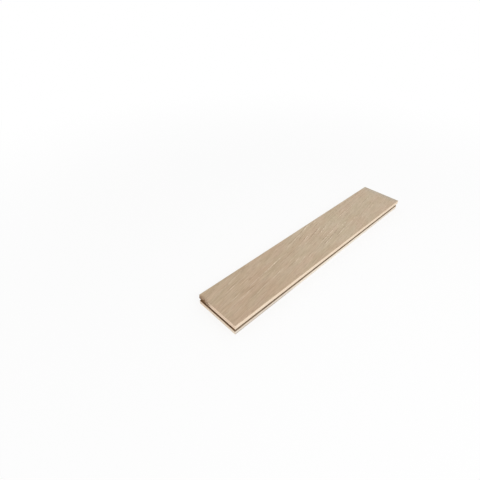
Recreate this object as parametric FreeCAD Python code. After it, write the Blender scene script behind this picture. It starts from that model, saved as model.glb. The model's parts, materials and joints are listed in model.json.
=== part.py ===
"""Herringbone parquet block: one piece of solid oak, lying flat with its wear face up.

The front long side and the left end are grooved; the back long side and the right end carry the tongues that
fit a neighbour's grooves. X runs along the grain, Y across it, and the origin is the middle of the underside.
"""
import FreeCAD, Part
import os

# Driving dimensions in millimetres
FACE_LENGTH = 540.0         # wear face along the grain
FACE_WIDTH = 90.0           # wear face across the grain
UPPER_LIP = 9.0             # wood above the groove, which can be sanded down
GROOVE_HEIGHT = 5.0
LOWER_LIP = 8.0             # wood below the groove
GROOVE_DEPTH = 6.0          # from the edge of the wear face to the groove's floor
GROOVE_CORNER_RADIUS = 0.6  # inside corners of the groove, left by the cutter
LOWER_SETBACK = 0.5         # the wood below the joint stands back, so that the wear faces close tight
FACE_EASING = 0.5           # chamfer round the wear face
MOUTH_EASING = 0.4          # chamfer on both lips of the groove
TONGUE_NOSE = 0.9           # chamfer along the tip of the tongue
TONGUE_CLEARANCE = 0.1      # gap above the tongue, and below it, in a neighbour's groove
TONGUE_END_GAP = 0.6        # gap from the tongue's tip to the floor of a neighbour's groove

# Sizes that follow from the driving dimensions
THICKNESS = LOWER_LIP + GROOVE_HEIGHT + UPPER_LIP
GROOVE_BOTTOM = LOWER_LIP
GROOVE_TOP = LOWER_LIP + GROOVE_HEIGHT
TONGUE_BOTTOM = GROOVE_BOTTOM + TONGUE_CLEARANCE
TONGUE_TOP = GROOVE_TOP - TONGUE_CLEARANCE
TONGUE_LENGTH = GROOVE_DEPTH - TONGUE_END_GAP

X_AXIS = FreeCAD.Vector(1, 0, 0)
Y_AXIS = FreeCAD.Vector(0, 1, 0)
Z_AXIS = FreeCAD.Vector(0, 0, 1)
ORIGIN = FreeCAD.Vector(0, 0, 0)


def point(across, up):
    """A point of a section, which stands in the XZ plane."""
    return X_AXIS * across + Z_AXIS * up


def toward(start, goal, distance):
    """The point that far along the straight line from start to goal."""
    return start + (goal - start).normalize() * distance


def corner_edge(before, corner, after, finish, size):
    """The short edge that takes a square corner off: a straight chamfer or a quarter round."""
    entry = toward(corner, before, size)
    leave = toward(corner, after, size)
    if finish == "chamfer":
        return Part.LineSegment(entry, leave).toShape()
    centre = entry + leave - corner
    middle = toward(centre, corner, size)
    return Part.Arc(entry, middle, leave).toShape()


def outline(corners):
    """A face inside straight sides. Each corner is (across, up), or has a finish and its size after them."""
    points = [point(across, up) for across, up, *finish in corners]
    corner_edges = []
    for i, (across, up, *finish) in enumerate(corners):
        following = points[(i + 1) % len(points)]
        corner_edges.append(corner_edge(points[i - 1], points[i], following, *finish) if finish else None)
    edges = []
    for i, start in enumerate(points):
        following = (i + 1) % len(points)
        here, there = corner_edges[i], corner_edges[following]
        side_start = here.lastVertex(True).Point if here else start
        side_end = there.firstVertex(True).Point if there else points[following]
        edges.append(Part.LineSegment(side_start, side_end).toShape())
        if there:
            edges.append(there)
    return Part.Face(Part.Wire(edges))


def joint_section(face_size):
    """The section across the block between a grooved edge, on the left, and a tongued edge."""
    left = -face_size / 2
    right = face_size / 2
    tip = right + TONGUE_LENGTH
    floor = left + GROOVE_DEPTH
    easing = ("chamfer", FACE_EASING)
    mouth = ("chamfer", MOUTH_EASING)
    nose = ("chamfer", TONGUE_NOSE)
    cutter = ("round", GROOVE_CORNER_RADIUS)
    return outline([
        (left + LOWER_SETBACK, 0),
        (right - LOWER_SETBACK, 0),
        (right - LOWER_SETBACK, TONGUE_BOTTOM),
        (tip, TONGUE_BOTTOM, *nose),
        (tip, TONGUE_TOP, *nose),
        (right, TONGUE_TOP),
        (right, THICKNESS, *easing),
        (left, THICKNESS, *easing),
        (left, GROOVE_TOP, *mouth),
        (floor, GROOVE_TOP, *cutter),
        (floor, GROOVE_BOTTOM, *cutter),
        (left + LOWER_SETBACK, GROOVE_BOTTOM, *mouth),
    ])


def moulding(face_size, run):
    """Stock with the joint section, moulded along Y well past both ends of the finished run."""
    section = joint_section(face_size)
    section.translate(Y_AXIS * -run)
    return section.extrude(Y_AXIS * 2 * run)


def parquet_block():
    """The long sides are moulded along the grain, and then the two ends are cut across it."""
    sides = moulding(FACE_WIDTH, FACE_LENGTH)
    sides.rotate(ORIGIN, Z_AXIS, 90)
    ends = moulding(FACE_LENGTH, FACE_WIDTH)
    return sides.common(ends).removeSplitter()


block = parquet_block().Solids[0]
os.makedirs("parts", exist_ok=True)
block.exportStep("parts/parquet_block.step")
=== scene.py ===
"""Looks of the parquet block: a matt oiled oak face with brushed grain, and raw oak edges.

The block is one piece of wood, so one set of growth rings runs through its face, its sides and its ends. The
rings are worked out point by point on the mesh, where they also set how deep the brush has gone into the
softer wood.
"""
import json
import math

import bmesh
import bpy
from mathutils import Euler, Matrix, Vector, noise


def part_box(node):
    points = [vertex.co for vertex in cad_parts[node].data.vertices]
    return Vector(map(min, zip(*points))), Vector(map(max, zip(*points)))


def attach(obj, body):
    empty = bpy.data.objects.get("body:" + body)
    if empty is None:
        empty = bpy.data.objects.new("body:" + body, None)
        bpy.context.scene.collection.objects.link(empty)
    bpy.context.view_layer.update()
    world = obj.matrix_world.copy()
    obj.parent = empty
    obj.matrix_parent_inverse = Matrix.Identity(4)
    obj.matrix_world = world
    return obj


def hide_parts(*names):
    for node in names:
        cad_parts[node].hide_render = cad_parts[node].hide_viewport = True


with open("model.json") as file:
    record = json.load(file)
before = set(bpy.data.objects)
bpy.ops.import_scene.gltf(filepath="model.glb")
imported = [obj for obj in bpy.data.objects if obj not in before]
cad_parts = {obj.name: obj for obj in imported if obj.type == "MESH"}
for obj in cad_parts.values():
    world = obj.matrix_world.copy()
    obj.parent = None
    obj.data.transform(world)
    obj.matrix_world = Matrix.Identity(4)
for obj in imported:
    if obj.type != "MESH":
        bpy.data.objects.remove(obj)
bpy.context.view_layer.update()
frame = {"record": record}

MM = 0.001
NEAR = 0.01 * MM            # two places closer than this are one place
X, Y, Z = range(3)
X_AXIS = Vector((1, 0, 0))
Y_AXIS = Vector((0, 1, 0))
Z_AXIS = Vector((0, 0, 1))

# The block and its joint: places from the frame, and the sizes of the drawing
block_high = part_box("parquet_block")[1]
mounts = {mount["name"]: Vector(mount["pos_m"]) for mount in frame["record"]["mounts"]}
HALF_LENGTH = -mounts["left_end_groove"].x
HALF_WIDTH = -mounts["front_groove"].y
THICKNESS = block_high.z
GROOVE_LEVEL = mounts["front_groove"].z
GROOVE_HEIGHT = 5.0 * MM
GROOVE_DEPTH = 6.0 * MM
GROOVE_CORNER = 0.6 * MM
TONGUE_LENGTH = block_high.x - HALF_LENGTH
TONGUE_HEIGHT = 4.8 * MM
TONGUE_NOSE = 0.9 * MM
LOWER_SETBACK = 0.5 * MM    # the wood below the joint stands back
FACE_EASING = 0.5 * MM
MOUTH_EASING = 0.4 * MM
ARRIS_ROUND = 0.1 * MM
GROOVE_BOTTOM = GROOVE_LEVEL - GROOVE_HEIGHT / 2
GROOVE_TOP = GROOVE_LEVEL + GROOVE_HEIGHT / 2
TONGUE_BOTTOM = GROOVE_LEVEL - TONGUE_HEIGHT / 2
TONGUE_TOP = GROOVE_LEVEL + TONGUE_HEIGHT / 2
END_TIP = HALF_LENGTH + TONGUE_LENGTH
BACK_TIP = HALF_WIDTH + TONGUE_LENGTH
CORE_LOW = Vector((GROOVE_DEPTH - HALF_LENGTH, GROOVE_DEPTH - HALF_WIDTH, GROOVE_BOTTOM))
CORE_HIGH = Vector((HALF_LENGTH, HALF_WIDTH, GROOVE_TOP))

# The camera, solved from the edges of the block in the photograph
CAMERA_PLACE = Vector((-0.5007, -0.2849, 0.4607))
CAMERA_HEADING = 45.36      # degrees from the block's length towards its back
CAMERA_DIP = 38.72          # degrees below the horizontal
CAMERA_ROLL = 1.24
CAMERA_LENS = 25.81         # millimetres, as the sensor's width is
CAMERA_SENSOR = 36
CAMERA_CLIP = 10 * MM

# The wood: rings round a pith that lies beside and below the block, with the grain a little off its length
GRAIN_SLANT = math.radians(9)
RING_SLOPE = math.radians(24)
PITH_DISTANCE = 300 * MM
RING_WIDTH = 2.9 * MM
GRAIN_TURN = Euler((RING_SLOPE, 0, GRAIN_SLANT))
GRAIN_FRAME = GRAIN_TURN.to_matrix().transposed()
GRAIN = Vector((math.cos(GRAIN_SLANT), math.sin(GRAIN_SLANT), 0))
PITH = GRAIN_TURN.to_matrix() @ Vector((0, 0, -PITH_DISTANCE))
BOW_RINGS = 2.0             # how many rings they bow by, in long patches
WANDER_RINGS = 0.25         # and wander by, in shorter ones

# Within one ring, from 0 to 1: the soft wood that the brush takes out, and the hard dark wood at its end
SOFT_RISE = (0.0, 0.06)
SOFT_FALL = (0.12, 0.40)
HARD_RISE = (0.70, 0.90)
HARD_FALL = (0.95, 1.0)
EARLY_WOOD = (0.55, 0.10)   # the early wood, which has most of the pores, from none of it to all of it

# Unevenness of the rings and the brushing: its size along the grain and across it
BOW_PATCH = (260 * MM, 60 * MM)
WANDER_PATCH = (70 * MM, 12 * MM)
RAGGED_PATCH = (40 * MM, 7 * MM)
DASH_PATCH = (40 * MM, 4 * MM)
BRISTLE_PATCH = (22 * MM, 1.5 * MM)

# Unevenness of the colours: its size along the grain, across it, and out from the pith
FIBRE_PATCH = (30 * MM, 1.3 * MM, 1.3 * MM)
BROAD_PATCH = (65 * MM, 22 * MM, 22 * MM)
PORE_PATCH = (12 * MM, 0.42 * MM, 0.42 * MM)
RAY_PATCH = (7 * MM, 0.7 * MM, 11 * MM)
CLOUD_PATCH = (45 * MM, 16 * MM, 16 * MM)
BEAD_PATCH = (5 * MM, 2 * MM, 2 * MM)
BLOTCH_PATCH = (5 * MM, 3.5 * MM, 3.5 * MM)
LOWER_PATCH = (90 * MM, 14 * MM, 14 * MM)
MOUTH_SHADE_PATCH = (30 * MM, 3 * MM, 3 * MM)
NOISE_ROUGHNESS = 0.55
CHIPS_PER_METRE = 350.0     # along the worn edges
STRETCHES_PER_METRE = 60.0  # in which the cutter's ripples come and go

# Where on its noise, from 0 to 1, each of them starts to show and shows in full
PATCH_FADE = (0.34, 0.66)
PORE_FADE = (0.57, 0.65)
FILLED_FADE = (0.62, 0.44)  # the limed lines fill up where there are no pores
RAY_FADE = (0.60, 0.72)
BEAD_FADE = (0.40, 0.58)
BLOTCH_FADE = (0.25, 0.70)

BROWNER_END = (60 * MM, -200 * MM)      # along the face, which gets a shade browner towards its left end
GREYER_END = (248 * MM, 270 * MM)       # and a shade greyer right at its right end
PALER_FROM = (-150 * MM, -90 * MM)   # along the front, whose lower edge is painted paler from here, as lit by the white floor, and loses its painted contact shadow
PALER_TO = (40 * MM, 300 * MM)       # to here, where it runs out slowly

# The wood below the joint: its tint, painted light and shade from the white floor, comes in on the way down,
# and the painted contact shadow at its foot
LOWER_TINT_FADE = (11 * MM, 5 * MM)
LOWER_TINT_WANDER = 6 * MM
FOOT_SHADE_FADE = (3.6 * MM, 1.2 * MM)
FOOT_SHADE_WANDER = 4 * MM
TONGUE_FADE = (0, 40 * MM)              # in from the tongues, by which the wood below the joint has less painted light and shade
# Painted shade for a little way down from the mouth of each groove
MOUTH_SHADE_WANDER = 1.5 * MM
MOUTH_SHADE_FULL = GROOVE_BOTTOM - 0.2 * MM
MOUTH_SHADE_START = (0.6 * MM, 2 * MM)      # in from the tongues

# The light: all round, and from the lamp above, which together show a colour as it is written
WHITE = (1, 1, 1, 1)
ROUND_LIGHT = 0.80
LAMP_POWER = 6.5            # watts
LAMP_SIZE = 1.2
LAMP_PLACE = Vector((-0.20, -0.95, 1.15))
FLOOR_HALF_SIZE = 30
FLOOR_PAPER = (0.9, 0.9, 0.9, 1)
FLOOR_ROUGHNESS = 0.9
FLOOR_GLOW = 0.8            # how far the floor by the block is lifted to plain white
FLOOR_FADE = (0.3, 1.2)     # metres from the block's middle, over which it gets quite white
FLOOR_GAP = 0.02 * MM
FLOOR_LAP = 1 * MM          # the floor is open under the block but for this, which lights the underside

# The mesh: how finely the faces are cut for the brushed relief
CUT_ALONG = 3.0 * MM
CUT_ACROSS = 0.5 * MM
CUT_UP = 1.4 * MM           # up the left end, where the bruise is
CUTS_UP = 5
CUT_CLEAR = 1 * MM          # from the edges
CUT_NEAR = 0.0001 * MM      # a cut uses the points that are closer to it than this
PLACE_DIGITS = 7            # a point's place is kept to a ten-thousandth of a millimetre
UNDERSIDE_EVERY = 6         # the underside has only one in this many of the cuts across
FLAT_CUT = 1                # segments of an edge that is taken off flat
ROUND_CUT = 2               # and round
ONE_PLANE = math.radians(0.5)       # faces that turn by less lie in one plane
SHARP_EDGE = math.radians(30)       # an edge that turns by more is eased
SHADED_SHARP = math.radians(50)     # and one that turns by more than this is shaded sharp

# How a face is told by its normal and its place
LOOKS_DOWN = -0.9
LOOKS_UP = 0.3              # the easing round the wear face does too
LOOKS_ALONG = 0.6
SQUARE = 0.9999
FACE_MARGIN = 1 * MM
JOINT_MARGIN = 3 * MM       # above and below the middle of the groove

# The brushed face and its edges
BRUSHED_DEPTH = 0.16 * MM
BRISTLE_SHARE = 0.4         # how much of the depth differs from bristle to bristle
BRISTLE_MARKS = 0.15        # what the bristles leave in the harder wood
BRUSHED_START = (0, 1 * MM)         # in from the edges
BRUSHED_LEVEL = THICKNESS - 0.7 * MM    # points from here up belong to the face
ARRIS_WANDER = 0.12 * MM
ARRIS_WAVE = 9 * MM
ARRIS_FADE = (0.6 * MM, 1.6 * MM)   # in from the edges

# Where the grain shows most on the face: an area's middle, its reach along and across, and its strength
STREAKED_AREAS = [
    (-170 * MM, -5 * MM, 85 * MM, 14 * MM, 1.0),
    (-205 * MM, 20 * MM, 45 * MM, 10 * MM, 0.7),
    (-205 * MM, -34 * MM, 55 * MM, 9 * MM, 0.7),
    (-112 * MM, 4 * MM, 65 * MM, 18 * MM, 1.0),
    (-25 * MM, 20 * MM, 60 * MM, 18 * MM, 1.0),
    (-68 * MM, -16 * MM, 60 * MM, 14 * MM, 0.8),
    (40 * MM, 24 * MM, 65 * MM, 26 * MM, 1.0),
    (45 * MM, -12 * MM, 75 * MM, 16 * MM, 1.0),
    (120 * MM, 16 * MM, 42 * MM, 10 * MM, 0.9),
    (198 * MM, 12 * MM, 50 * MM, 8 * MM, 0.6),
]
QUIET_FIGURE = 0.36         # how strongly it shows everywhere else
AREA_FADE = (0.35, 1.25)    # of an area's reach
AREA_RAGGED = 0.3
DASH_FADE = (-0.35, 0.35)
DASH_SHIFT = Vector((7, 3, 1))      # so that the dashes don't follow the ragged edges of the areas

# The bruise on the end, at the back left corner, under painted shade
BRUISE_CENTRE = Vector((-HALF_LENGTH, HALF_WIDTH - 9 * MM, THICKNESS - 5 * MM))
BRUISE_REACH = Vector((4 * MM, 28 * MM, 9 * MM))
BRUISE_FADE = (0.35, 1.0)   # of that reach
BRUISE_PATCH = 3 * MM
BRUISE_RAGGED = 0.25
BRUISE_DEPTH = 0.8 * MM     # at the top of the end
BRUISE_SINK = 0.6           # the share of it by which the face sinks
BRUISED_FACE = THICKNESS - 6 * MM   # the wood sinks from here up
BRUISED_END = THICKNESS - 8 * MM    # and is pressed in from here up
CORNER_SHADE_FADE = (THICKNESS - 3 * MM, GROOVE_TOP)     # the painted shade gets darker on the way down

WEAR_FACE, SIDE_GRAIN, END_GRAIN, SIDE_GROOVE, END_GROOVE, UNDERSIDE = range(6)


def smooth_step(low, high, value):
    """0 up to low, 1 from high on, and a smooth rise between them."""
    share = min(max((value - low) / (high - low), 0), 1)
    return share * share * (3 - 2 * share)


def uneven_at(place, patch, shift=Vector()):
    """Noise from -1 to 1 at a place, in patches of this size along the grain and across it."""
    along, across = patch
    turned = GRAIN_FRAME @ place
    return noise.noise(Vector((turned.x / along, turned.y / across, turned.z / across)) + shift)


def growth_at(place):
    """The number of rings between the pith and a place in the block."""
    from_pith = place - PITH
    radius = (from_pith - GRAIN * from_pith.dot(GRAIN)).length
    bow = uneven_at(place, BOW_PATCH) * BOW_RINGS
    wander = uneven_at(place, WANDER_PATCH) * WANDER_RINGS
    return radius / RING_WIDTH + bow + wander


def figure_at(place):
    """How strongly the grain shows on the face, from 0 to 1: in areas, and in broken dashes there."""
    ragged = uneven_at(place, RAGGED_PATCH) * AREA_RAGGED
    figure = QUIET_FIGURE
    for x, y, reach_along, reach_across, strength in STREAKED_AREAS:
        distance = math.hypot((place.x - x) / reach_along, (place.y - y) / reach_across)
        figure = max(figure, strength * (1 - smooth_step(*AREA_FADE, distance + ragged)))
    return figure * smooth_step(*DASH_FADE, uneven_at(place, DASH_PATCH, DASH_SHIFT))


def brushed_at(place, growth, figure):
    """How far the brush has gone down here, from 0 to 1: deepest where the soft wood of a new ring starts."""
    phase = growth % 1
    soft = smooth_step(*SOFT_RISE, phase) * (1 - smooth_step(*SOFT_FALL, phase))
    bristles = 0.5 + 0.5 * uneven_at(place, BRISTLE_PATCH)
    return figure * (soft * (1 - BRISTLE_SHARE + BRISTLE_SHARE * bristles) + BRISTLE_MARKS * bristles)


def bruise_at(place):
    """How badly the wood is bruised here, from 0 to 1."""
    off = place - BRUISE_CENTRE
    distance = Vector((off.x / BRUISE_REACH.x, off.y / BRUISE_REACH.y, off.z / BRUISE_REACH.z)).length
    ragged = noise.noise(place / BRUISE_PATCH) * BRUISE_RAGGED
    return 1 - smooth_step(*BRUISE_FADE, distance + ragged)


def lies_on(part, axis, level):
    """Whether an edge or a face lies in the plane at this level of an axis."""
    return all(abs(vert.co[axis] - level) < NEAR for vert in part.verts)


def between(face, low, high):
    """Whether a face lies wholly between two heights."""
    return all(low - NEAR < vert.co.z < high + NEAR for vert in face.verts)


def each_once(parts):
    """Each of the parts once, in the order given, which a set would change from run to run."""
    return list(dict.fromkeys(parts))


def extrude(block, faces, step):
    """Extrudes faces by a step, and gives the points that have moved."""
    made = bmesh.ops.extrude_face_region(block, geom=faces)["geom"]
    bmesh.ops.delete(block, geom=faces, context="FACES")
    points = [part for part in made if isinstance(part, bmesh.types.BMVert)]
    bmesh.ops.translate(block, verts=points, vec=step)
    return points


def take_off(block, edges, size, segments):
    """Takes edges off by a size: flat with one segment, round with more."""
    bmesh.ops.bevel(block, geom=edges, offset=size, offset_type="OFFSET", segments=segments, profile=0.5,
                    affect="EDGES", material=-1, clamp_overlap=False)


def merge_flats(block, faces):
    """Joins those of the faces that lie in one plane."""
    block.normal_update()
    chosen = set(faces)
    edges = each_once(edge for face in faces for edge in face.edges if chosen.issuperset(edge.link_faces))
    verts = each_once(vert for face in faces for vert in face.verts)
    bmesh.ops.dissolve_limit(block, angle_limit=ONE_PLANE, verts=verts, edges=edges)


def cut_through(block, faces, place, direction):
    """One cut by a plane through these faces, and the faces that lie beyond it."""
    parts = each_once(part for face in faces for part in (face, *face.edges, *face.verts))
    made = bmesh.ops.bisect_plane(block, geom=parts, dist=CUT_NEAR, plane_co=place, plane_no=direction)
    made_faces = [part for part in made["geom"] if isinstance(part, bmesh.types.BMFace)]
    return [face for face in made_faces if (face.calc_center_median() - place).dot(direction) > 0]


def cut_often(block, faces, direction, places):
    """Cuts through faces at one place after another, each time through what lies beyond the last cut."""
    for place in places:
        faces = cut_through(block, faces, direction * place, direction)


def grooved_stock():
    """The core of the block, and the lips that stand out over and under its two grooves."""
    block = bmesh.new()
    fit = Matrix.Translation((CORE_LOW + CORE_HIGH) / 2) @ Matrix.Diagonal((*(CORE_HIGH - CORE_LOW), 1))
    bmesh.ops.create_cube(block, size=1, matrix=fit)
    top = [face for face in block.faces if lies_on(face, Z, GROOVE_TOP)]
    bottom = [face for face in block.faces if lies_on(face, Z, GROOVE_BOTTOM)]
    extrude(block, top, Z_AXIS * (THICKNESS - GROOVE_TOP))
    extrude(block, bottom, -Z_AXIS * GROOVE_BOTTOM)
    for axis, outwards in ((Y, -Y_AXIS), (X, -X_AXIS)):
        side = [face for face in block.faces if lies_on(face, axis, CORE_LOW[axis])]
        over = [face for face in side if between(face, GROOVE_TOP, THICKNESS)]
        under = [face for face in side if between(face, 0, GROOVE_BOTTOM)]
        extrude(block, over, outwards * GROOVE_DEPTH)
        extrude(block, under, outwards * (GROOVE_DEPTH - LOWER_SETBACK))
    merge_flats(block, block.faces)
    take_off(block, [edge for edge in block.edges if not edge.is_convex], GROOVE_CORNER, ROUND_CUT)
    return block


def tongued_sides(block):
    """The faces of the back and of the right end."""
    return [face for face in block.faces if lies_on(face, X, HALF_LENGTH) or lies_on(face, Y, HALF_WIDTH)]


def add_tongues(block):
    """Draws the tongues out of the back and of the right end, and sets the wood below them back."""
    levels = [(Z_AXIS * TONGUE_BOTTOM, Z_AXIS), (Z_AXIS * TONGUE_TOP, Z_AXIS)]
    starts = [(CORE_LOW, X_AXIS), (CORE_LOW, Y_AXIS)]
    for place, direction in levels + starts:
        cut_through(block, tongued_sides(block), place, direction)
    strip = [face for face in tongued_sides(block) if between(face, TONGUE_BOTTOM, TONGUE_TOP)
             and all(vert.co.x > CORE_LOW.x - NEAR and vert.co.y > CORE_LOW.y - NEAR for vert in face.verts)]
    for vert in extrude(block, strip, Vector()):
        vert.co.x += TONGUE_LENGTH * (vert.co.x > HALF_LENGTH - NEAR)
        vert.co.y += TONGUE_LENGTH * (vert.co.y > HALF_WIDTH - NEAR)
    for vert in block.verts:
        x, y, z = vert.co
        below = z < TONGUE_BOTTOM + NEAR
        in_groove = z < GROOVE_LEVEL and (x < CORE_LOW.x + NEAR or y < CORE_LOW.y + NEAR)
        if below or in_groove:
            vert.co.x -= LOWER_SETBACK * (abs(x - HALF_LENGTH) < NEAR)
            vert.co.y -= LOWER_SETBACK * (abs(y - HALF_WIDTH) < NEAR)
    set_back = [face for face in block.faces if between(face, 0, TONGUE_BOTTOM)
                or lies_on(face, X, HALF_LENGTH - LOWER_SETBACK)
                or lies_on(face, Y, HALF_WIDTH - LOWER_SETBACK)]
    tongues = [face for face in block.faces
               if any(vert.co.x > HALF_LENGTH + NEAR or vert.co.y > HALF_WIDTH + NEAR for vert in face.verts)]
    merge_flats(block, tongued_sides(block) + set_back + tongues)


def ease_edges(block):
    """The chamfers of the joint and of the wear face, and then a little off every sharp edge."""
    take_off(block, [edge for edge in block.edges if lies_on(edge, Z, THICKNESS)], FACE_EASING, FLAT_CUT)
    mouths = []
    for level, back in ((GROOVE_TOP, 0), (GROOVE_BOTTOM, LOWER_SETBACK)):
        mouths += [edge for edge in block.edges if lies_on(edge, Z, level)
                   and (lies_on(edge, X, back - HALF_LENGTH) or lies_on(edge, Y, back - HALF_WIDTH))]
    take_off(block, mouths, MOUTH_EASING, FLAT_CUT)
    tips = [edge for edge in block.edges
            if (lies_on(edge, Z, TONGUE_TOP) or lies_on(edge, Z, TONGUE_BOTTOM))
            and (lies_on(edge, X, END_TIP) or lies_on(edge, Y, BACK_TIP))]
    take_off(block, tips, TONGUE_NOSE, FLAT_CUT)
    arrises = [edge for edge in block.edges if edge.is_convex and edge.calc_face_angle() > SHARP_EDGE]
    take_off(block, arrises, ARRIS_ROUND, ROUND_CUT)


def in_order(block):
    """The same block with its points and faces in order of place, which the tools leave to chance."""
    places = {vert: tuple(round(part, PLACE_DIGITS) for part in vert.co) for vert in block.verts}
    verts = sorted(places, key=places.get)
    numbers = {vert: number for number, vert in enumerate(verts)}
    outlines = []
    for face in block.faces:
        corners = [numbers[vert] for vert in face.verts]
        first = corners.index(min(corners))
        outlines.append(corners[first:] + corners[:first])
    ordered = bmesh.new()
    points = [ordered.verts.new(places[vert]) for vert in verts]
    for corners in sorted(outlines):
        ordered.faces.new([points[corner] for corner in corners])
    ordered.normal_update()
    block.free()
    return ordered


def spaced(half_size, pitch):
    """Places at this pitch to both sides of the middle, clear of the edges."""
    count = math.floor((half_size - CUT_CLEAR) / pitch)
    return [(step + 0.5) * pitch for step in range(-count, count)]


def is_underside(face):
    """Whether a face belongs to the underside."""
    return face.normal.z < LOOKS_DOWN and face.calc_center_median().z < FACE_MARGIN


def cut_for_relief(block):
    """Divides the faces along and across, to carry the relief, but not along the groove's round."""
    across = [place for place in spaced(HALF_WIDTH, CUT_ACROSS)
              if not CORE_LOW.y - GROOVE_CORNER < place < CORE_LOW.y]
    underside = [face for face in block.faces if is_underside(face)]
    cut_often(block, [face for face in block.faces if not is_underside(face)], Y_AXIS, across)
    cut_often(block, underside, Y_AXIS, across[::UNDERSIDE_EVERY])
    along = spaced(HALF_LENGTH, CUT_ALONG)
    cut_often(block, list(block.faces), X_AXIS, along)
    middles = {face: face.calc_center_median() for face in block.faces}
    left_lip = [face for face, middle in middles.items() if middle.x < along[0] and middle.z > GROOVE_TOP]
    cut_often(block, left_lip, Z_AXIS, [THICKNESS - step * CUT_UP for step in range(CUTS_UP, 0, -1)])


def finish_of(face):
    """Which finish a face has, from where it is and the way it faces."""
    middle = face.calc_center_median()
    if is_underside(face):
        return UNDERSIDE
    if face.normal.z > LOOKS_UP and middle.z > THICKNESS - FACE_MARGIN:
        return WEAR_FACE
    on_tongue = middle.x > HALF_LENGTH - FACE_MARGIN or middle.y > HALF_WIDTH - FACE_MARGIN
    if abs(middle.z - GROOVE_LEVEL) < JOINT_MARGIN and not on_tongue:
        from_side = middle.y + HALF_WIDTH
        from_end = middle.x + HALF_LENGTH
        return SIDE_GROOVE if from_side < from_end else END_GROOVE
    return END_GRAIN if abs(face.normal.x) > LOOKS_ALONG else SIDE_GRAIN


def finish_faces(block):
    """Gives each face its finish. The plain flats are shaded flat, and everything else smooth."""
    block.normal_update()
    for face in block.faces:
        face.material_index = finish_of(face)
        plain = max(abs(part) for part in face.normal) > SQUARE
        bruised = bruise_at(face.calc_center_median()) > 0
        face.smooth = face.material_index == WEAR_FACE or bruised or not plain


def press_in_relief(block):
    """Writes the growth rings on the mesh, and moves its points by what the brush and the knocks took off."""
    growth_layer = block.verts.layers.float.new("growth")
    figure_layer = block.verts.layers.float.new("figure")
    bruise_layer = block.verts.layers.float.new("bruise")
    for vert in block.verts:
        place = vert.co.copy()
        growth = growth_at(place)
        bruise = bruise_at(place)
        vert[growth_layer] = growth
        vert[bruise_layer] = bruise
        if place.z > BRUSHED_LEVEL:
            figure = figure_at(place)
            vert[figure_layer] = figure
            inside = min(HALF_LENGTH - abs(place.x), HALF_WIDTH - abs(place.y))
            brushed = brushed_at(place, growth, figure) * smooth_step(*BRUSHED_START, inside)
            vert.co.z -= BRUSHED_DEPTH * brushed
            arris = 1 - smooth_step(*ARRIS_FADE, inside)
            vert.co.z -= ARRIS_WANDER * arris * (0.5 + 0.5 * noise.noise(place / ARRIS_WAVE))
        if bruise > 0:
            vert.co.z -= BRUISE_DEPTH * bruise * smooth_step(BRUISED_FACE, THICKNESS, place.z) * BRUISE_SINK
            if place.x < FACE_MARGIN - HALF_LENGTH:
                vert.co.x += BRUISE_DEPTH * bruise * smooth_step(BRUISED_END, THICKNESS, place.z)


def parquet_block():
    """The whole block, as one closed piece that stands for the solid."""
    block = grooved_stock()
    add_tongues(block)
    ease_edges(block)
    block = in_order(block)
    cut_for_relief(block)
    finish_faces(block)
    press_in_relief(block)
    mesh = bpy.data.meshes.new("parquet_block_oak")
    block.to_mesh(mesh)
    block.free()
    mesh.set_sharp_from_angle(angle=SHADED_SHARP)
    piece = bpy.data.objects.new("parquet_block_oak", mesh)
    bpy.context.scene.collection.objects.link(piece)
    return piece


def srgb(red, green, blue):
    """A colour as a picture gives it, 0 to 255, as the linear colour that a shader takes."""
    def linear(value):
        value /= 255
        return value / 12.92 if value <= 0.04045 else ((value + 0.055) / 1.055) ** 2.4
    return (linear(red), linear(green), linear(blue), 1)


def add_node(tree, kind, inputs=None, **settings):
    """Adds a shader node with its settings, and gives each named or numbered input its link or its value."""
    node = tree.nodes.new(kind)
    for name, value in settings.items():
        setattr(node, name, value)
    for name, value in (inputs or {}).items():
        if isinstance(value, bpy.types.NodeSocket):
            tree.links.new(value, node.inputs[name])
        else:
            node.inputs[name].default_value = value
    return node


def calculate(tree, operation, *values, clamp=False):
    """One sum on values or sockets."""
    made = add_node(tree, "ShaderNodeMath", dict(enumerate(values)), operation=operation, use_clamp=clamp)
    return made.outputs[0]


def multiply(tree, first, *others):
    """The product of values or sockets."""
    for other in others:
        first = calculate(tree, "MULTIPLY", first, other)
    return first


def spread(tree, mask, at_none, at_full):
    """A mask from 0 to 1 spread over another range."""
    return calculate(tree, "MULTIPLY_ADD", mask, at_full - at_none, at_none)


def fade(tree, value, start, end):
    """A mask that goes smoothly from 0 at start to 1 at end."""
    ends = {"Value": value, "From Min": start, "From Max": end}
    return add_node(tree, "ShaderNodeMapRange", ends, interpolation_type="SMOOTHSTEP").outputs["Result"]


def mix(tree, share, first, second, blend="MIX", clamp=False):
    """Two colours mixed by a share."""
    inputs = {0: share, 6: first, 7: second}
    made = add_node(tree, "ShaderNodeMix", inputs, data_type="RGBA", blend_type=blend, clamp_result=clamp)
    return made.outputs[2]


def on_mesh(tree, name):
    """A value that the mesh carries at its points."""
    carried = add_node(tree, "ShaderNodeAttribute", attribute_type="GEOMETRY", attribute_name=name)
    return carried.outputs["Fac"]


def place_on(tree):
    """The place on the piece, in its own coordinates."""
    return add_node(tree, "ShaderNodeTexCoord").outputs["Object"]


def place_apart(tree):
    """The same place as its X, Y and Z."""
    return add_node(tree, "ShaderNodeSeparateXYZ", {0: place_on(tree)}).outputs


def even_noise(tree, per_metre, detail):
    """Cloudiness that is the same in every direction."""
    inputs = {"Vector": place_on(tree), "Scale": per_metre, "Detail": detail}
    return add_node(tree, "ShaderNodeTexNoise", inputs).outputs[0]


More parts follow.
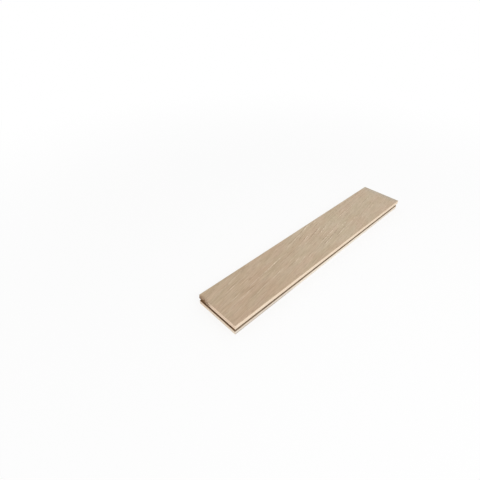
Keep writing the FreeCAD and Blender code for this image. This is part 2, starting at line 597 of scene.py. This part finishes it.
def grain_noise(tree, patch, detail=2.0, shift=0.0):
    """Cloudiness in patches of this size: along the grain, across it, and out from the pith."""
    laid = add_node(tree, "ShaderNodeMapping", {
        "Vector": place_on(tree),
        "Location": (shift, shift, shift),
        "Rotation": GRAIN_TURN,
        "Scale": patch,
    }, vector_type="TEXTURE")
    inputs = {"Vector": laid.outputs[0], "Scale": 1.0, "Detail": detail, "Roughness": NOISE_ROUGHNESS}
    return add_node(tree, "ShaderNodeTexNoise", inputs).outputs[0]


def wandering(tree, value, by, patch):
    """A value that wanders to both sides by half this much, with cloudiness in patches of this size."""
    cloudy = calculate(tree, "SUBTRACT", grain_noise(tree, patch), 0.5)
    return calculate(tree, "MULTIPLY_ADD", cloudy, by, value)


def new_group(name, inputs, outputs):
    """An empty shader node group with its sockets, and its entry and exit nodes."""
    group = bpy.data.node_groups.new(name, "ShaderNodeTree")
    for in_out, sockets in (("INPUT", inputs), ("OUTPUT", outputs)):
        for label, kind in sockets.items():
            group.interface.new_socket(label, in_out=in_out, socket_type="NodeSocket" + kind)
    return group, group.nodes.new("NodeGroupInput").outputs, group.nodes.new("NodeGroupOutput").inputs


def oak_group():
    """The wood: rings, fibres, broad patches, pores and rays, in the colours that a finish gives it."""
    group, given, result = new_group("oak", {
        "Pale Wood": "Color", "Dark Wood": "Color", "Pore Wood": "Color", "Patch Tint": "Color",
        "Patches": "Float", "Rings": "Float", "Streaks": "Float", "Pores": "Float", "Rays": "Float",
    }, {"Color": "Color", "Height": "Float", "Open Pores": "Float", "Pore Lines": "Float"})
    early = fade(group, calculate(group, "FRACT", on_mesh(group, "growth")), *EARLY_WOOD)

    ring_tone = multiply(group, calculate(group, "SUBTRACT", 0.5, early), given["Rings"])
    fibres = grain_noise(group, FIBRE_PATCH, detail=3.0)
    fibre_tone = multiply(group, calculate(group, "SUBTRACT", fibres, 0.5), given["Streaks"])
    share = calculate(group, "ADD", calculate(group, "ADD", ring_tone, fibre_tone), 0.5, clamp=True)
    wood = mix(group, share, given["Dark Wood"], given["Pale Wood"])

    patches = fade(group, grain_noise(group, BROAD_PATCH, detail=4.0), *PATCH_FADE)
    tinted = multiply(group, patches, given["Patches"])
    wood = mix(group, tinted, wood, given["Patch Tint"], blend="MULTIPLY")

    pore_lines = grain_noise(group, PORE_PATCH, detail=1.0)
    open_pores = multiply(group, fade(group, pore_lines, *PORE_FADE), spread(group, early, 0.25, 1.0))
    wood = mix(group, multiply(group, open_pores, given["Pores"]), wood, given["Pore Wood"])

    rays = fade(group, grain_noise(group, RAY_PATCH, detail=1.0, shift=0.4), *RAY_FADE)
    wood = mix(group, multiply(group, rays, given["Rays"]), wood, given["Pale Wood"])

    height = calculate(group, "SUBTRACT", multiply(group, fibres, 0.5), open_pores)
    group.links.new(wood, result["Color"])
    group.links.new(height, result["Height"])
    group.links.new(open_pores, result["Open Pores"])
    group.links.new(pore_lines, result["Pore Lines"])
    return group


def corner_shade_group():
    """Painted shade where the end was knocked, brown, which gets darker down towards the groove."""
    sockets = {"Color": "Color", "Strength": "Float"}
    group, given, result = new_group("painted_corner_shade", sockets, {"Color": "Color"})
    blotches = fade(group, grain_noise(group, BLOTCH_PATCH, detail=4.0), *BLOTCH_FADE)
    lower = fade(group, place_apart(group)["Z"], *CORNER_SHADE_FADE)
    patchy = calculate(group, "MULTIPLY_ADD", lower, 0.3, spread(group, blotches, 0.48, 0.93))
    share = multiply(group, on_mesh(group, "bruise"), patchy)
    share = calculate(group, "MULTIPLY", share, given["Strength"], clamp=True)
    # A dark brown for painted shade at the back left corner
    corner_shade_colour = srgb(108, 72, 28)
    group.links.new(mix(group, share, given["Color"], corner_shade_colour), result["Color"])
    return group


def from_tongues(tree, apart):
    """How far a place is in from the tongued back and the tongued end."""
    from_end = calculate(tree, "SUBTRACT", HALF_LENGTH, apart["X"])
    from_back = calculate(tree, "SUBTRACT", HALF_WIDTH, apart["Y"])
    return calculate(tree, "MINIMUM", from_end, from_back)


def lower_light_and_shade_group():
    """The wood below the joint: a tint of painted light and shade from the white floor, and a painted contact
    shadow at its foot, more by the grooves than by the tongues.
    """
    group, given, result = new_group("painted_lower_light_and_shade", {
        "Color": "Color", "Tint": "Color", "Strength": "Float", "Grime": "Float",
    }, {"Color": "Color"})
    apart = place_apart(group)
    grooved = fade(group, from_tongues(group, apart), *TONGUE_FADE)
    level = wandering(group, apart["Z"], LOWER_TINT_WANDER, LOWER_PATCH)
    strength = multiply(group, spread(group, grooved, 0.3, 1.0), given["Strength"])
    share = multiply(group, fade(group, level, *LOWER_TINT_FADE), strength)
    tinted = mix(group, share, given["Color"], given["Tint"], blend="MULTIPLY", clamp=True)
    # Painted contact shadow at the foot
    foot = wandering(group, apart["Z"], FOOT_SHADE_WANDER, LOWER_PATCH)
    foot_shaded = multiply(group, fade(group, foot, *FOOT_SHADE_FADE), grooved, given["Grime"])
    foot_shade = (0.69, 0.66, 0.62, 1)
    group.links.new(mix(group, foot_shaded, tinted, foot_shade, blend="MULTIPLY"), result["Color"])
    return group


def mouth_shade_group():
    """Painted shade: the wood is darkened for a little way down from the mouth of a groove."""
    sockets = {"Color": "Color", "Brown": "Color", "Reach": "Float"}
    group, given, result = new_group("painted_mouth_shade", sockets, {"Color": "Color"})
    apart = place_apart(group)
    level = wandering(group, apart["Z"], MOUTH_SHADE_WANDER, MOUTH_SHADE_PATCH)
    lowest = calculate(group, "SUBTRACT", GROOVE_BOTTOM, given["Reach"])
    below = fade(group, level, lowest, MOUTH_SHADE_FULL)
    above = fade(group, apart["Z"], GROOVE_BOTTOM, GROOVE_TOP)
    grooved = fade(group, from_tongues(group, apart), *MOUTH_SHADE_START)
    share = multiply(group, calculate(group, "SUBTRACT", below, above, clamp=True), grooved)
    group.links.new(mix(group, share, given["Color"], given["Brown"]), result["Color"])
    return group


def tool_group():
    """Fine ripples that the cutter left, one after the other in the direction that the wood was fed."""
    group, given, result = new_group("tool_marks", {"Feed": "Vector", "Pitch": "Float"}, {"Height": "Float"})
    ways = {0: place_on(group), 1: given["Feed"]}
    along = add_node(group, "ShaderNodeVectorMath", ways, operation="DOT_PRODUCT").outputs["Value"]
    turns = calculate(group, "DIVIDE", along, given["Pitch"])
    uneven = even_noise(group, STRETCHES_PER_METRE, detail=2.0)
    turns = calculate(group, "MULTIPLY_ADD", uneven, 1.5, turns)
    wave = calculate(group, "SINE", multiply(group, turns, math.tau))
    group.links.new(multiply(group, wave, uneven), result["Height"])
    return group


OAK = oak_group()
CORNER_SHADE = corner_shade_group()
LOWER_LIGHT_AND_SHADE = lower_light_and_shade_group()
MOUTH_SHADE = mouth_shade_group()
TOOL_MARKS = tool_group()


def placed(tree, group, **values):
    """The outputs of a group placed in a material. An underscore stands for a space in an input's name."""
    inputs = {label.replace("_", " "): value for label, value in values.items()}
    return add_node(tree, "ShaderNodeGroup", inputs, node_tree=group).outputs


def new_material(name, specular=0.2):
    """A material with its shader, and the tree to build in. Raw wood has little gloss."""
    material = bpy.data.materials.new(name)
    material.use_nodes = True
    shader = material.node_tree.nodes["Principled BSDF"]
    shader.inputs["Specular IOR Level"].default_value = specular
    return material, material.node_tree, shader.inputs


def finish_with(tree, shader, colour, roughness, height, depth):
    """Links what varies over the surface to the shader."""
    bump = add_node(tree, "ShaderNodeBump", {"Height": height, "Distance": depth, "Strength": 1.0})
    tree.links.new(colour, shader["Base Color"])
    tree.links.new(roughness, shader["Roughness"])
    tree.links.new(bump.outputs[0], shader["Normal"])


def finish_raw(tree, shader, wood, colour, feed, pitch, ripple, roughness, depth=0.10 * MM):
    """Finishes raw wood with the cutter's ripple. The roughness is that of the wood and that of its pores."""
    marks = placed(tree, TOOL_MARKS, Feed=feed, Pitch=pitch)["Height"]
    height = calculate(tree, "MULTIPLY_ADD", marks, ripple, wood["Height"])
    finish_with(tree, shader, colour, spread(tree, wood["Open Pores"], *roughness), height, depth)


def worn_arris_and_highlight(tree, reach):
    """A mask of the edges round the wear face, ragged, from 1 on the edge to 0 past the reach."""
    apart = place_apart(tree)
    from_end = calculate(tree, "SUBTRACT", HALF_LENGTH, calculate(tree, "ABSOLUTE", apart["X"]))
    from_side = calculate(tree, "SUBTRACT", HALF_WIDTH, calculate(tree, "ABSOLUTE", apart["Y"]))
    nearest = calculate(tree, "MINIMUM", from_end, from_side)
    chips = even_noise(tree, CHIPS_PER_METRE, detail=3.0)
    ragged = calculate(tree, "DIVIDE", calculate(tree, "DIVIDE", nearest, reach), chips)
    return fade(tree, ragged, 2.0, 0.6)


def ring_lines(tree, rise, fall):
    """A line in each growth ring, broken into the dashes that the mesh carries."""
    phase = calculate(tree, "FRACT", on_mesh(tree, "growth"))
    past = calculate(tree, "SUBTRACT", 1.0, fade(tree, phase, *fall))
    return multiply(tree, fade(tree, phase, *rise), past, on_mesh(tree, "figure"))


def oiled_face():
    """The wear face: brushed, the brushed lines limed, and matt oiled."""
    material, tree, shader = new_material("oiled_wear_face", specular=0.35)
    along = place_apart(tree)["X"]
    browner = fade(tree, along, *BROWNER_END)
    greyer = fade(tree, along, *GREYER_END)
    streaks = calculate(tree, "MULTIPLY_ADD", on_mesh(tree, "figure"), 3.0, spread(tree, browner, 0.8, 1.4))
    wood = placed(tree, OAK, Pale_Wood=srgb(206, 189, 163), Dark_Wood=srgb(179, 160, 136),
                  Pore_Wood=srgb(140, 115, 92), Patch_Tint=(1.02, 0.945, 0.95, 1),
                  Patches=0.8, Rings=0.10, Streaks=streaks, Pores=0.4, Rays=0.3)
    clouds = fade(tree, grain_noise(tree, CLOUD_PATCH, detail=3.0, shift=0.9), *PATCH_FADE)
    colour = wood["Color"]
    for share, tint in ((clouds, (0.94, 0.94, 0.90, 1)), (browner, (0.94, 0.90, 0.88, 1)),
                        (greyer, (0.93, 1.0, 1.09, 1))):
        colour = mix(tree, share, colour, tint, blend="MULTIPLY")

    # The brushed lines hold the lime in beads, which run together towards the browner end
    beads = fade(tree, grain_noise(tree, BEAD_PATCH, detail=1.0, shift=0.3), *BEAD_FADE)
    evened = multiply(tree, browner, calculate(tree, "SUBTRACT", 0.5, beads))
    beads = calculate(tree, "MULTIPLY_ADD", evened, 0.7, beads)
    filled = spread(tree, fade(tree, wood["Pore Lines"], *FILLED_FADE), 0.25, 1.0)
    filled = multiply(tree, filled, spread(tree, beads, 0.15, 1.0), spread(tree, browner, 1.0, 0.85))
    limed = multiply(tree, ring_lines(tree, SOFT_RISE, SOFT_FALL), filled)
    lime = srgb(236, 218, 194)
    colour = mix(tree, limed, colour, lime)
    bare = multiply(tree, spread(tree, beads, 1.0, 0.2), spread(tree, browner, 1.0, 0.4))
    hard = multiply(tree, ring_lines(tree, HARD_RISE, HARD_FALL), bare)
    hard_wood = srgb(140, 114, 92)
    colour = mix(tree, hard, colour, hard_wood)

    # The edges round the face: paler where worn, and partly a painted highlight along the arris.
    worn_and_highlight = worn_arris_and_highlight(tree, reach=0.5 * MM)
    worn_and_highlight_wood = srgb(232, 208, 184)
    colour = mix(tree, multiply(tree, worn_and_highlight, 0.6), colour, worn_and_highlight_wood)
    # Painted shade at the bruised back left corner
    colour = placed(tree, CORNER_SHADE, Color=colour, Strength=0.5)["Color"]
    dryness = spread(tree, worn_and_highlight, 0.52, 0.67)
    roughness = calculate(tree, "MULTIPLY_ADD", wood["Open Pores"], 0.2, dryness)
    finish_with(tree, shader, colour, roughness, wood["Height"], depth=0.10 * MM)
    return material


def raw_side():
    """The moulded long sides: raw oak, pale, with the cutter's ripple."""
    material, tree, shader = new_material("raw_side_grain")
    wood = placed(tree, OAK, Pale_Wood=srgb(250, 234, 212), Dark_Wood=srgb(231, 209, 183),
                  Pore_Wood=srgb(196, 162, 130), Patch_Tint=(0.96, 0.90, 0.87, 1),
                  Patches=0.5, Rings=0.45, Streaks=0.6, Pores=0.4, Rays=0.3)
    # Below the joint, painted light and shade from the white floor: a cool grey tint towards both ends, paler
    # along the middle of the front.
    along = place_apart(tree)["X"]
    started = fade(tree, along, *PALER_FROM)
    paler = calculate(tree, "SUBTRACT", started, fade(tree, along, *PALER_TO))
    cool_tint = (0.88, 0.97, 1.11, 1)
    pale_tint = (1.04, 1.16, 1.31, 1)
    tint = mix(tree, paler, cool_tint, pale_tint)
    # Painted contact shadow at the foot, near the left end only.
    foot_shade = calculate(tree, "SUBTRACT", 1.0, started)
    colour = placed(tree, LOWER_LIGHT_AND_SHADE, Color=wood["Color"], Tint=tint, Strength=0.85, Grime=foot_shade)["Color"]
    # Painted shade under the mouth of the groove
    colour = placed(tree, MOUTH_SHADE, Color=colour, Brown=srgb(168, 146, 121), Reach=2 * MM)["Color"]
    finish_raw(tree, shader, wood, colour, feed=X_AXIS, pitch=1.8 * MM, ripple=0.25, roughness=(0.72, 0.87),
               depth=0.08 * MM)
    return material


def cut_end():
    """The ends: raw end grain, a shade darker than the sides, with the bruise at the back corner under
    painted shade.
    """
    material, tree, shader = new_material("cut_end_grain")
    wood = placed(tree, OAK, Pale_Wood=srgb(253, 231, 207), Dark_Wood=srgb(229, 199, 172),
                  Pore_Wood=srgb(150, 116, 86), Patch_Tint=(0.96, 0.90, 0.87, 1),
                  Patches=0.4, Rings=0.6, Streaks=0.3, Pores=0.6, Rays=0.5)
    # Below the joint, a pale cool tint of painted light from the white floor.
    tint = (1.08, 1.20, 1.28, 1)
    # A little painted contact shadow at the foot.
    colour = placed(tree, LOWER_LIGHT_AND_SHADE, Color=wood["Color"], Tint=tint, Strength=0.95, Grime=0.25)["Color"]
    # Painted shade under the mouth of the groove
    colour = placed(tree, MOUTH_SHADE, Color=colour, Brown=srgb(114, 86, 58), Reach=3 * MM)["Color"]
    # Painted shade at the bruised back corner
    colour = placed(tree, CORNER_SHADE, Color=colour, Strength=0.95)["Color"]
    finish_raw(tree, shader, wood, colour, feed=Y_AXIS, pitch=1.2 * MM, ripple=0.4, roughness=(0.82, 0.92))
    return material


def groove_in_painted_shade(name, pale, dark, feed):
    """Inside a groove: raw oak, its colours darkened as painted shade in the groove."""
    material, tree, shader = new_material(name)
    wood = placed(tree, OAK, Pale_Wood=pale, Dark_Wood=dark, Pore_Wood=srgb(84, 60, 40),
                  Patch_Tint=(0.92, 0.86, 0.82, 1), Patches=0.5, Rings=0.4, Streaks=0.5, Pores=0.5, Rays=0.2)
    finish_raw(tree, shader, wood, wood["Color"], feed=feed, pitch=1.5 * MM, ripple=0.4,
               roughness=(0.7, 0.85))
    return material


def planed_underside():
    """The underside: raw oak, planed, never oiled."""
    material, tree, shader = new_material("planed_underside")
    wood = placed(tree, OAK, Pale_Wood=srgb(226, 202, 176), Dark_Wood=srgb(196, 168, 142),
                  Pore_Wood=srgb(150, 118, 90), Patch_Tint=(0.96, 0.90, 0.87, 1),
                  Patches=0.5, Rings=0.5, Streaks=0.6, Pores=0.6, Rays=0.3)
    finish_raw(tree, shader, wood, wood["Color"], feed=X_AXIS, pitch=2.6 * MM, ripple=0.6,
               roughness=(0.75, 0.9))
    return material


def seen_directly(tree):
    """1 for what the camera sees, straight or in a reflection, and 0 for light that falls on the block."""
    path = add_node(tree, "ShaderNodeLightPath").outputs
    seen = calculate(tree, "MAXIMUM", path["Is Camera Ray"], path["Is Glossy Ray"])
    return calculate(tree, "MAXIMUM", seen, path["Is Transmission Ray"])


def floor_paper():
    """White paper, lifted to plain white for the camera, and clear from below."""
    material = bpy.data.materials.new("white_floor")
    material.use_nodes = True
    tree = material.node_tree
    paper = tree.nodes["Principled BSDF"]
    paper.inputs["Base Color"].default_value = FLOOR_PAPER
    paper.inputs["Roughness"].default_value = FLOOR_ROUGHNESS
    paper.inputs["Specular IOR Level"].default_value = 0
    glow = add_node(tree, "ShaderNodeEmission", {"Color": WHITE, "Strength": 1.0})
    away = add_node(tree, "ShaderNodeVectorMath", {0: place_on(tree)}, operation="LENGTH").outputs["Value"]
    whiteness = spread(tree, fade(tree, away, *FLOOR_FADE), FLOOR_GLOW, 1.0)
    share = multiply(tree, seen_directly(tree), whiteness)
    both = add_node(tree, "ShaderNodeMixShader", {0: share, 1: paper.outputs[0], 2: glow.outputs[0]})
    below = add_node(tree, "ShaderNodeNewGeometry").outputs["Backfacing"]
    clear = add_node(tree, "ShaderNodeBsdfTransparent")
    surface = add_node(tree, "ShaderNodeMixShader", {0: below, 1: both.outputs[0], 2: clear.outputs[0]})
    tree.links.new(surface.outputs[0], tree.nodes["Material Output"].inputs["Surface"])
    return material


def white_floor():
    """A wide white floor under the block, which keeps a faint shadow."""
    floor = bmesh.new()
    lowered = Matrix.Translation(-Z_AXIS * FLOOR_GAP)
    bmesh.ops.create_grid(floor, x_segments=1, y_segments=1, size=FLOOR_HALF_SIZE, matrix=lowered)
    for direction, half_size in ((X_AXIS, HALF_LENGTH - FLOOR_LAP), (Y_AXIS, HALF_WIDTH - FLOOR_LAP)):
        cut_through(floor, list(floor.faces), -direction * half_size, direction)
        cut_through(floor, list(floor.faces), direction * half_size, direction)
    under_block = [face for face in floor.faces if face.calc_center_median().length < HALF_WIDTH]
    bmesh.ops.delete(floor, geom=under_block, context="FACES")
    mesh = bpy.data.meshes.new("floor")
    floor.to_mesh(mesh)
    floor.free()
    mesh.materials.append(floor_paper())
    piece = bpy.data.objects.new("floor", mesh)
    bpy.context.scene.collection.objects.link(piece)


def soft_light():
    """White light from all round, and a large soft lamp above."""
    world = bpy.data.worlds.new("studio")
    bpy.context.scene.world = world
    world.use_nodes = True
    tree = world.node_tree
    around = tree.nodes["Background"]
    around.inputs["Color"].default_value = WHITE
    around.inputs["Strength"].default_value = ROUND_LIGHT
    backdrop = add_node(tree, "ShaderNodeBackground", {"Color": WHITE, "Strength": 1.0})
    shares = {0: seen_directly(tree), 1: around.outputs[0], 2: backdrop.outputs[0]}
    both = add_node(tree, "ShaderNodeMixShader", shares)
    tree.links.new(both.outputs[0], tree.nodes["World Output"].inputs["Surface"])

    lamp_data = bpy.data.lights.new("soft_box", "AREA")
    lamp_data.shape = "DISK"
    lamp_data.size = LAMP_SIZE
    lamp_data.energy = LAMP_POWER
    lamp = bpy.data.objects.new("soft_box", lamp_data)
    aim = (-LAMP_PLACE).to_track_quat("-Z", "Y").to_matrix().to_4x4()
    lamp.matrix_world = Matrix.Translation(LAMP_PLACE) @ aim
    bpy.context.scene.collection.objects.link(lamp)


def photo_camera():
    """The camera that took the photograph."""
    data = bpy.data.cameras.new("photo_view")
    data.sensor_width = CAMERA_SENSOR
    data.lens = CAMERA_LENS
    data.clip_start = CAMERA_CLIP
    camera = bpy.data.objects.new("photo_view", data)
    turn = Euler((math.radians(90 - CAMERA_DIP), 0, math.radians(CAMERA_HEADING - 90)))
    roll = Matrix.Rotation(math.radians(CAMERA_ROLL), 4, "Z")
    camera.matrix_world = Matrix.Translation(CAMERA_PLACE) @ turn.to_matrix().to_4x4() @ roll
    bpy.context.scene.collection.objects.link(camera)
    bpy.context.scene.camera = camera


block_piece = parquet_block()
finishes = {
    WEAR_FACE: oiled_face(),
    SIDE_GRAIN: raw_side(),
    END_GRAIN: cut_end(),
    # The colours inside the grooves are darkened as painted shade.
    SIDE_GROOVE: groove_in_painted_shade("side_groove_painted_shade", srgb(168, 148, 124), srgb(130, 110, 88), X_AXIS),
    END_GROOVE: groove_in_painted_shade("end_groove_painted_shade", srgb(146, 112, 78), srgb(112, 82, 52), Y_AXIS),
    UNDERSIDE: planed_underside(),
}
for finish in sorted(finishes):
    block_piece.data.materials.append(finishes[finish])
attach(block_piece, "root")
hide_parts("parquet_block")

white_floor()
soft_light()
photo_camera()
bpy.context.scene.view_settings.view_transform = "Standard"
